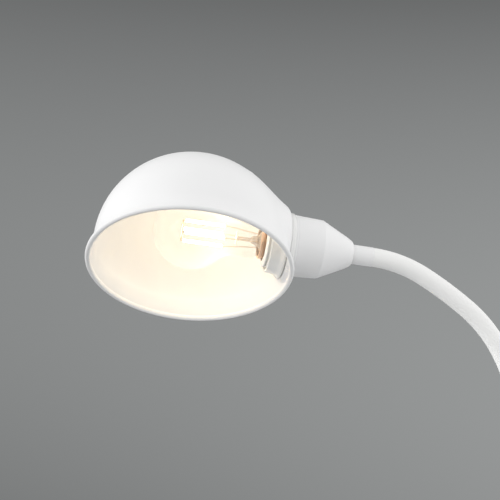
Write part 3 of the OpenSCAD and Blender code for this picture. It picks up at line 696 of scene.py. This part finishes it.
class LAMP_OT_bulb(bpy.types.Operator):
    """Clear bulb with a screw cap, a glass stem and four lit filaments"""
    bl_idname = "lamp.bulb"
    bl_label = "Bulb"

    def glass_path(self, sizes, inset):
        """Half outline of the glass from its tip to its neck, and where the neck starts."""
        big, neck, bend = sizes.glass_r, sizes.neck_r, 22.0
        neck_s = math.sqrt((big + bend) ** 2 - (neck + bend) ** 2) - sizes.glass_shift
        tilt = math.degrees(math.asin((neck_s + sizes.glass_shift) / (big + bend)))
        path = arc(0, -sizes.glass_shift, big - inset, -90, tilt, 48)
        path += arc(neck + bend, neck_s, bend + inset, 180 + tilt, 180, 18)[1:]
        path += [(neck - inset, neck_s + 9.5), (neck - inset, neck_s + 13.5)]
        return path, neck_s

    def execute(self, context):
        sizes = context.scene.lamp_bulb
        finishes = context.scene.lamp_finishes
        frame_m = shade_matrix(context.scene.lamp_shade.roll)
        wall, in_cap = 0.7, 11.5
        outer, neck_s = self.glass_path(sizes, 0)
        inner, _ = self.glass_path(sizes, wall)
        cap_s, cap_l = neck_s + 16.5, 17.0
        outer[0], inner[0] = (0, outer[0][1]), (0, inner[0][1])
        outer += [(in_cap, cap_s - 0.3), (in_cap, cap_s + 6)]
        inner += [(in_cap - wall, cap_s - 0.3), (in_cap - wall, cap_s + 6)]
        glass = clear_glass("clear_bulb_glass", (0.96, 0.97, 0.96), 0.02, 0.22)
        finish_piece("bulb_envelope", place(lathe(outer + inner[::-1], 96, closed=False), frame_m),
                     "head", glass, ("bulb_glass",))

        disc, rod_r, disc_r = 34.0, 1.4, 4.7
        stem = rounded([
            (0, cap_s + 4, 0), (10.6, cap_s + 4, 0.5), (10.6, cap_s + 2.4, 0.5), (5.2, cap_s, 3),
            (3.6, cap_s - 3, 2), (3.2, cap_s - 5.5, 1), (rod_r, cap_s - 7.2, 0.8), (rod_r, disc + 1.3, 0.4),
            (disc_r, disc + 1.1, 0.5), (disc_r, disc, 0.5), (rod_r, disc - 0.2, 0.4), (0, disc - 1, 0),
        ])
        tinted = clear_glass("stem_glass", (0.95, 0.82, 0.70), 0.35, 0.8)
        finish_piece("bulb_stem_glass", place(lathe(stem, 48, closed=False), frame_m), "head",
                     tinted, ("bulb_stem",))

        self.cap(cap_s, cap_l, frame_m)
        dress(moulded("black_insulator", (0.02, 0.02, 0.02), 0.15), "bulb_insulator")
        solder = coat("solder", (0.6, 0.6, 0.6), 0.4, 1.0, tint=0.1, grain_mm=0.04, grain_scale=500)
        dress(solder, "bulb_contact")

        wires, rods = [], []
        root = 26.0
        far = root - sizes.filament_l
        glow_r, pin_r, wire_r, tie_r = 1.1, 0.55, 0.32, 0.5
        out = Matrix.Translation((sizes.filament_ring * MM, 0, 0))
        for k in range(4):
            turn = Matrix.Rotation(math.radians(45 + 90 * k), 4, "Z")
            rods.append(place(self.rod(glow_r, far + 1.6, root - 1.6, 0.4, 20), turn @ out))
            for low, high in ((far - 0.2, far + 1.8), (root - 1.8, root + 0.2)):
                wires.append(place(self.rod(pin_r, low, high, 0.2, 12), turn @ out))
            start, end = Vector((sizes.filament_ring, 0, root)), Vector((5.3, 0, cap_s - 1))
            through = [start, start + Vector((0, 0, 2.5)), (start + end) / 2, end]
            wires.append(place(self.wire(through, wire_r), turn))
        # A wire ring ties the far ends together.
        wires.append(lathe(arc(sizes.filament_ring, far - 0.4, tie_r, 0, 330, 11), 48))
        nickel = coat("nickel_wire", (0.85, 0.70, 0.56), 0.4, 0.8, tint=0.2, grain_scale=3000)
        finish_piece("filament_supports", place(join(*wires), frame_m), "head", nickel,
                     ("filament_wires",))
        finish_piece("lit_filaments", place(join(*rods), frame_m), "head",
                     glowing("filament_glow", finishes.glow, sizes.glow), ("filaments",))

        data = bpy.data.lights.new("bulb_light", "POINT")
        data.energy, data.color, data.shadow_soft_size = sizes.lamp_watts, (1.0, 0.92, 0.79), 0.012
        light = bpy.data.objects.new("bulb_light", data)
        context.scene.collection.objects.link(light)
        light.location = frame_m @ Vector((0, 0, 13 * MM))
        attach(light, "head")
        return {"FINISHED"}

    def cap(self, start, length, matrix):
        """Screw cap with a rolled thread, from the neck to the insulator."""
        root_r, shoulder, step, end = 13.1, 2.6, 0.2, start + length
        path = rounded([(12.0, start, 0), (13.7, start, 0.4), (13.8, start + 1.9, 0.5),
                        (root_r, start + shoulder, 0)])
        path += [(root_r, start + shoulder + step * k) for k in range(round((length - 3.2) / step))]
        path += rounded([(root_r, end - 0.6, 0), (12.2, end, 0.4), (11.8, end, 0)])
        bm = lathe(path, 96)
        wind(bm, CAP_PITCH, 0.95, start + shoulder + 0.1, end - 0.8)
        finish_piece("bulb_screw_cap", place(bm, matrix), "head", brass(), ("bulb_cap",))

    def rod(self, radius, low, high, edge, sides):
        """A short round rod with rounded ends."""
        path = rounded([(0, low, 0), (radius, low, edge), (radius, high, edge), (0, high, 0)])
        return lathe(path, sides, closed=False)

    def wire(self, points, radius):
        """A thin round wire through a few points, in mm."""
        bm = bmesh.new()
        bmesh.ops.create_circle(bm, cap_ends=True, radius=radius * MM, segments=10)
        face = bm.faces[:][0]
        direction = (points[1] - points[0]).normalized()
        bmesh.ops.transform(bm, matrix=Matrix.Translation(points[0] * MM)
                            @ direction.to_track_quat("Z", "Y").to_matrix().to_4x4(), verts=bm.verts)
        for here, there in zip(points, points[1:]):
            made = bmesh.ops.extrude_face_region(bm, geom=[face])
            verts = [g for g in made["geom"] if isinstance(g, bmesh.types.BMVert)]
            face = [g for g in made["geom"] if isinstance(g, bmesh.types.BMFace)][0]
            bmesh.ops.translate(bm, vec=(there - here) * MM, verts=verts)
        return bm


# ---------------------------------------------------------------- arm

class LAMP_OT_arm(bpy.types.Operator):
    """Flexible arm: a sleeve and a lead swept along its rest curve across the joints, and the wound core
    inside
    """
    bl_idname = "lamp.arm"
    bl_label = "Flexible arm"

    def execute(self, context):
        sizes = context.scene.lamp_arm
        sleeve = coat("white_sleeve", context.scene.lamp_finishes.sleeve, 0.4, tint=0.015,
                      grain_scale=700, grain_mm=0.01, spread=0.05, Specular_IOR_Level=0.25)
        lead = moulded("lead_sheath", (0.80, 0.80, 0.78), 0.5)
        count = len(TURNS)
        bodies = ["base"] + [f"arm_{k}" for k in range(2, count + 1)]
        # A span reaches from the middle of a section to the middle of the next, across the joint between
        # them, and then rides on no body. At the ring's joint it is cut into two stiff halves.
        ends = sorted([0, RING_JOINT, count] + [k + 0.5 for k in range(count)])
        for kind, radius, bore, sides, material, slot in (
                ("sleeve", sizes.sleeve_r, sizes.sleeve_bore, SLEEVE_SIDES, sleeve, "white_sleeve"),
                ("lead", sizes.lead_r, 0, LEAD_SIDES, lead, "lead_sheath")):
            for number, (first, last) in enumerate(zip(ends, ends[1:]), 1):
                bm = sweep(radius, first, last, sides)
                if bore:
                    bm = join(bm, sweep(bore, first, last, sides))
                    self.close_ends(bm, (radius - bore) * MM)
                else:
                    bmesh.ops.holes_fill(bm, edges=[e for e in bm.edges if e.is_boundary], sides=0)
                k = int(first)
                node = () if first == k else (f"{kind}_{k + 1}",)
                bends = first < int(last) < last
                piece = finish_piece(f"arm_{kind}_{number}", bm, None if bends else bodies[k],
                                     material, node, sharp=50)
                if bends:
                    start = section_matrix(k) @ part_way(TURNS[k], 0.5)
                    end = section_matrix(k + 1) @ part_way(TURNS[k + 1], 0.5)
                    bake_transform(piece)
        self.joint_ring(sizes, sleeve, bodies[RING_JOINT - 1])
        wound = coat("wound_steel_wire", (0.58, 0.59, 0.61), 0.36, 1.0, tint=0.15, tint_scale=150,
                     grain_scale=3000, grain_mm=0.01)
        dress(wound, *(f"core_{k}" for k in range(1, count + 1)))
        return {"FINISHED"}

    def joint_ring(self, sizes, material, body):
        """Ball-shaped ring just inside the sleeve's wall, which covers the joint of two stiff halves."""
        under_skin, over_bore, reach_deg = 0.04, 0.02, 20
        radius, low = sizes.sleeve_r - under_skin, sizes.sleeve_bore + over_bore
        outer = arc(0, 0, radius, -reach_deg, reach_deg, 12)
        bm = lathe([(low, outer[0][1])] + outer + [(low, outer[-1][1])], SLEEVE_SIDES)
        finish_piece("arm_joint_ring", place(bm, section_matrix(RING_JOINT)), body,
                     material)

    def close_ends(self, bm, wall):
        """Closes both ends of a tube between its outer and its inner edge."""
        rim = {v for e in bm.edges if e.is_boundary for v in e.verts}
        across = {v: min((w for w in rim if w is not v), key=lambda w: abs((w.co - v.co).length - wall))
                  for v in rim}
        for edge in [e for e in bm.edges if e.is_boundary]:
            a, b = edge.verts
            if bm.faces.get((a, b, across[b], across[a])) is None:
                bm.faces.new((a, b, across[b], across[a]))


# ---------------------------------------------------------------- base and switch

class LAMP_OT_base(bpy.types.Operator):
    """Weighted base: cover, arm collar, weight, closing plate, foot pad, screws and grommet"""
    bl_idname = "lamp.base"
    bl_label = "Base"

    def execute(self, context):
        sizes = context.scene.lamp_base
        r, edge, sheet, foot = sizes.radius, sizes.edge_r, 1.0, 1.5
        cover = rounded([
            (NIPPLE_BORE, BASE_H, 0.1), (r, BASE_H, edge), (r, foot, 0.35), (r - sheet, foot, 0.35),
            (r - sheet, BASE_H - sheet, edge - sheet), (NIPPLE_BORE, BASE_H - sheet, 0.1),
        ], closed=True, steps=14)
        piece = finish_piece("base_shell", lathe(cover, 192), "base", powder_coat(),
                             ("base_cover",))
        lo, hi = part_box("cable_grommet")
        inlet_z = (lo.z + hi.z) / 2
        to_rear = Matrix.Rotation(math.pi / 2, 4, "Y")
        drill(piece, 7.6, Matrix.Translation((0, -sizes.reach * MM, BASE_H * MM)))
        drill(piece, 5.0, Matrix.Translation((r * MM, 0, inlet_z)) @ to_rear, sides=48)
        piece.data.set_sharp_from_angle(angle=math.radians(35))

        collar = rounded([
            (NIPPLE_BORE, BASE_H, 0.1), (17, BASE_H, 0.3), (17, BASE_H + 2.2, 0.9),
            (12.6, BASE_H + 3.4, 3.5), (9.5, BASE_H + 9, 4), (9.5, ARM_Z, 1.1), (5.8, ARM_Z, 0.3),
            (5.8, BASE_H + 10.8, 0.1), (NIPPLE_BORE, BASE_H + 10.8, 0.1),
        ], closed=True, steps=9)
        finish_piece("arm_collar_turned", lathe(collar, 128), "base", powder_coat(),
                     ("arm_collar",))

        iron = coat("cast_iron", (0.10, 0.10, 0.105), 0.62, 0.6, tint=0.3, tint_scale=60,
                    grain_scale=420, grain_mm=0.25, spread=0.12)
        dress(iron, "base_weight")
        dress(zinc(), "base_plate", "base_nipple", "base_nut", "base_washer")
        foam = coat("foam_rubber", (0.035, 0.035, 0.037), 0.92, tint=0.25, tint_scale=300,
                    grain_scale=1400, grain_mm=0.3, spread=0.05)
        dress(foam, "foot_pad")
        self.screws(sizes)

        length = (hi.x - lo.x) / MM
        lip, groove, bore, flange = (hi.z - lo.z) / 2 / MM, 4.9, 3.3, 1.6
        path = rounded([
            (bore, 0, 0.3), (lip, 0, 0.6), (lip, flange, 0.5), (groove, flange, 0.2),
            (groove, length - flange, 0.2), (lip, length - flange, 0.5), (lip - 0.3, length, 0.7),
            (bore, length, 0.5),
        ], closed=True)
        bm = place(lathe(path, 64), Matrix.Translation((lo.x, 0, inlet_z)) @ to_rear)
        rubber = coat("white_rubber", (0.74, 0.74, 0.73), 0.6, tint=0.04, grain_scale=1500, grain_mm=0.02)
        finish_piece("inlet_grommet", bm, "base", rubber, ("cable_grommet",))
        return {"FINISHED"}

    def screws(self, sizes):
        """Countersunk cross-recess screws up through the closing plate."""
        lo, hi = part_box("base_screws")
        head_z, top_z = lo.z / MM, hi.z / MM
        head_r, head_h, shank_r = 3.6, 0.6, 2.0
        path = rounded([
            (0, head_z, 0), (head_r, head_z, 0.25), (head_r, head_z + head_h, 0.1),
            (shank_r, head_z + head_h, 0), (shank_r, top_z, 0.5), (0, top_z, 0),
        ])
        circle_r = sizes.radius * 0.72 * MM
        angles = [math.radians(90 + 120 * k) for k in range(3)]
        places = [Matrix.Translation((circle_r * math.cos(a), circle_r * math.sin(a), 0)) for a in angles]
        meshes = [place(lathe(path, 32, closed=False), at) for at in places]
        piece = finish_piece("plate_screws", join(*meshes), "base", zinc(), ("base_screws",))
        recess = Matrix.Translation((0, 0, head_z * MM)), Matrix.Diagonal((4 * MM, 0.8 * MM, 0.7 * MM, 1))
        for at in places:
            for turn in (0, math.pi / 2):
                slot = bmesh.new()
                bmesh.ops.create_cube(slot, size=1)
                cut(piece, place(slot, at @ recess[0] @ Matrix.Rotation(turn, 4, "Z") @ recess[1]))


class LAMP_OT_switch(bpy.types.Operator):
    """Push switch: bezel, dished button, threaded barrel and nut"""
    bl_idname = "lamp.switch"
    bl_label = "Push switch"

    def execute(self, context):
        sizes = context.scene.lamp_base
        here = Matrix.Translation((0, -sizes.reach * MM, 0))
        plastic = moulded("white_plastic", context.scene.lamp_finishes.plastic)
        button_r, bore = 5.5, 5.6
        bezel = rounded([
            (bore, BASE_H, 0.1), (9.5, BASE_H, 0.2), (9.5, BASE_H + 0.9, 0.8), (8.4, BASE_H + 1.6, 0.6),
            (6.5, BASE_H + 1.6, 0.5), (bore, BASE_H + 1.1, 0.3),
        ], closed=True)
        finish_piece("switch_bezel_ring", place(lathe(bezel, 96), here), "base", plastic,
                     ("switch_bezel",))
        lo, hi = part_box("switch_button")
        foot, top = lo.z / MM, hi.z / MM
        button = rounded([
            (0, foot, 0), (button_r, foot, 0.3), (button_r, top, 1.1), (3.6, top - 0.15, 2.5),
            (0, top - 0.75, 0),
        ], steps=10)
        finish_piece("push_button", place(lathe(button, 96, closed=False), here), "button",
                     plastic, ("switch_button",))
        dress(moulded("black_plastic", (0.03, 0.03, 0.03), 0.45), "switch_barrel")
        dress(zinc(), "switch_nut")
        return {"FINISHED"}


# ---------------------------------------------------------------- stage

class LAMP_OT_stage(bpy.types.Operator):
    """Floor, backdrop, soft lights and camera"""
    bl_idname = "lamp.stage"
    bl_label = "Stage"
    sensor_mm = 36
    picture_px = 500
    focal_px = 1053.6
    camera_aside = 0.04517
    camera_down = 0.00025
    floor_r = 0.9

    def execute(self, context):
        scene, stage = context.scene, context.scene.lamp_stage
        scene.view_settings.view_transform = "Standard"
        self.backdrop(scene, stage)
        self.floor(scene, stage)
        centre = dome_matrix(scene.lamp_shade.roll, scene.lamp_shade.rise * MM).translation
        right = Vector((math.cos(stage.yaw), -math.sin(stage.yaw), 0))
        forward = Vector((math.sin(stage.yaw), math.cos(stage.yaw), 0))
        data = bpy.data.cameras.new("camera")
        data.sensor_width = self.sensor_mm
        data.lens = self.sensor_mm / self.picture_px * self.focal_px
        data.clip_start, data.clip_end = 0.01, 50
        camera = bpy.data.objects.new("camera", data)
        scene.collection.objects.link(camera)
        camera.location = (centre + right * self.camera_aside - Vector((0, 0, self.camera_down))
                           - forward * stage.distance)
        camera.rotation_euler = (math.pi / 2, 0, -stage.yaw)
        scene.camera = camera
        return {"FINISHED"}

    def backdrop(self, scene, stage):
        """Grey sheet for what the camera, gloss and glass see, and the light tent for the rest."""
        world = bpy.data.worlds.new("studio")
        scene.world = world
        world.use_nodes = True
        nodes, links = world.node_tree.nodes, world.node_tree.links
        background = nodes["Background"]
        coordinates = nodes.new("ShaderNodeTexCoord")
        split = nodes.new("ShaderNodeSeparateXYZ")
        links.new(coordinates.outputs["Generated"], split.inputs["Vector"])

        seen = self.sheet(nodes, links, split, stage)
        lit = self.light_tent(nodes, links, split, stage)
        path = nodes.new("ShaderNodeLightPath")
        first, second = nodes.new("ShaderNodeMath"), nodes.new("ShaderNodeMath")
        first.operation = second.operation = "MAXIMUM"
        links.new(path.outputs["Is Camera Ray"], first.inputs[0])
        links.new(path.outputs["Is Glossy Ray"], first.inputs[1])
        links.new(first.outputs[0], second.inputs[0])
        links.new(path.outputs["Is Transmission Ray"], second.inputs[1])
        mix = nodes.new("ShaderNodeMix")
        mix.data_type = "RGBA"
        links.new(second.outputs[0], mix.inputs["Factor"])
        links.new(lit, mix.inputs["A"])
        links.new(seen, mix.inputs["B"])
        links.new(mix.outputs["Result"], background.inputs["Color"])

    def math_node(self, nodes, links, operation, *values):
        """A math node on sockets or plain values, and its output."""
        node = nodes.new("ShaderNodeMath")
        node.operation = operation
        for socket, value in zip(node.inputs, values):
            if isinstance(value, bpy.types.NodeSocket):
                links.new(value, socket)
            else:
                socket.default_value = value
        return node.outputs[0]

    def sheet(self, nodes, links, split, stage):
        """Grey sheet with a painted fall-off of light, brightest low on the right."""
        def calc(*values):
            return self.math_node(nodes, links, *values)

        band = 0.24
        height = calc("MAXIMUM", calc("MINIMUM", split.outputs["Z"], band), -band)
        across = calc("MULTIPLY_ADD", split.outputs["Y"], -math.sin(stage.yaw),
                      calc("MULTIPLY", split.outputs["X"], math.cos(stage.yaw)))
        # Painted light: the sheet darkens away from the camera's height and brightens towards the lower
        # right.
        rise = calc("MULTIPLY_ADD", height, calc("MULTIPLY_ADD", height, -stage.arch, -stage.fall), 1)
        level = calc("MULTIPLY_ADD", across, calc("MULTIPLY_ADD", height, -stage.skew, stage.drift), rise)
        tint = nodes.new("ShaderNodeVectorMath")
        tint.operation = "SCALE"
        tint.inputs[0].default_value = stage.backdrop
        links.new(level, tint.inputs["Scale"])
        return tint.outputs["Vector"]

    def light_tent(self, nodes, links, split, stage):
        """White light from both sides at any height, and from above all round.

        The left gives a little more than the right, and the front more than the back.
        """
        def calc(*values):
            return self.math_node(nodes, links, *values)

        x, y = split.outputs["X"], split.outputs["Y"]
        upper = nodes.new("ShaderNodeMapRange")
        upper.interpolation_type = "SMOOTHSTEP"
        upper.inputs["From Min"].default_value, upper.inputs["From Max"].default_value = -0.5, 0.5
        links.new(split.outputs["Z"], upper.inputs["Value"])
        lean = calc("MULTIPLY_ADD", x, -stage.lean, 1)
        side = calc("MULTIPLY", calc("MULTIPLY", x, x), lean)
        front = calc("MAXIMUM", calc("MULTIPLY", y, -1), 0)
        back = calc("MAXIMUM", y, 0)
        level = calc("MULTIPLY", side, stage.sides)
        level = calc("MULTIPLY_ADD", front, stage.front, level)
        level = calc("MULTIPLY_ADD", back, stage.back, level)
        return calc("MULTIPLY_ADD", upper.outputs["Result"], level,
                    calc("MULTIPLY", calc("MULTIPLY", side, side), stage.low_sides))

    def floor(self, scene, stage):
        """Round sheet under the lamp that fades out with distance."""
        bm = bmesh.new()
        bmesh.ops.create_circle(bm, cap_ends=True, radius=self.floor_r, segments=96)
        mesh = bpy.data.meshes.new("floor")
        bm.to_mesh(mesh)
        bm.free()
        floor = bpy.data.objects.new("floor", mesh)
        scene.collection.objects.link(floor)
        floor.location = (-0.1, 0, 0)
        material = bpy.data.materials.new("floor_sheet")
        material.use_nodes = True
        nodes, links = material.node_tree.nodes, material.node_tree.links
        shader = nodes["Principled BSDF"]
        shader.inputs["Base Color"].default_value = (*stage.floor, 1)
        shader.inputs["Roughness"].default_value = 0.9
        coordinates, distance = nodes.new("ShaderNodeTexCoord"), nodes.new("ShaderNodeVectorMath")
        distance.operation = "LENGTH"
        fade = nodes.new("ShaderNodeMapRange")
        fade.interpolation_type = "SMOOTHSTEP"
        for socket, value in (("From Min", 0.26), ("From Max", 0.55), ("To Min", 1), ("To Max", 0)):
            fade.inputs[socket].default_value = value
        links.new(coordinates.outputs["Object"], distance.inputs[0])
        links.new(distance.outputs["Value"], fade.inputs["Value"])
        links.new(fade.outputs["Result"], shader.inputs["Alpha"])
        mesh.materials.append(material)


# ---------------------------------------------------------------- panel

PIECES = (LAMP_OT_base, LAMP_OT_switch, LAMP_OT_arm, LAMP_OT_holder_cover, LAMP_OT_lampholder,
          LAMP_OT_bulb, LAMP_OT_shade, LAMP_OT_stage)
SETTINGS = {"lamp_finishes": LampFinishes, "lamp_shade": ShadeSizes, "lamp_bulb": BulbSizes,
            "lamp_arm": ArmSizes, "lamp_base": BaseSizes, "lamp_stage": StageSettings}


class LAMP_PT_panel(bpy.types.Panel):
    """Lists the lamp's pieces and their sizes"""
    bl_idname = "LAMP_PT_panel"
    bl_label = "Desk lamp"
    bl_space_type = "VIEW_3D"
    bl_region_type = "UI"
    bl_category = "Desk lamp"

    def draw(self, context):
        for operator in PIECES:
            self.layout.operator(operator.bl_idname)
        for name, settings in SETTINGS.items():
            box = self.layout.box()
            for prop in settings.__annotations__:
                box.prop(getattr(context.scene, name), prop)


CLASSES = (*SETTINGS.values(), *PIECES, LAMP_PT_panel)


def register():
    """Registers the classes and gives the scene its settings."""
    for cls in CLASSES:
        bpy.utils.register_class(cls)
    for name, settings in SETTINGS.items():
        setattr(bpy.types.Scene, name, PointerProperty(type=settings))


def unregister():
    """Takes the settings and the classes back."""
    for name in SETTINGS:
        delattr(bpy.types.Scene, name)
    for cls in reversed(CLASSES):
        bpy.utils.unregister_class(cls)


def main():
    """Builds the lamp piece by piece, then its stage."""
    register()
    bpy.ops.lamp.base()
    bpy.ops.lamp.switch()
    bpy.ops.lamp.arm()
    bpy.ops.lamp.holder_cover()
    bpy.ops.lamp.lampholder()
    bpy.ops.lamp.bulb()
    bpy.ops.lamp.shade()
    bpy.ops.lamp.stage()


if __name__ == "__main__":
    main()
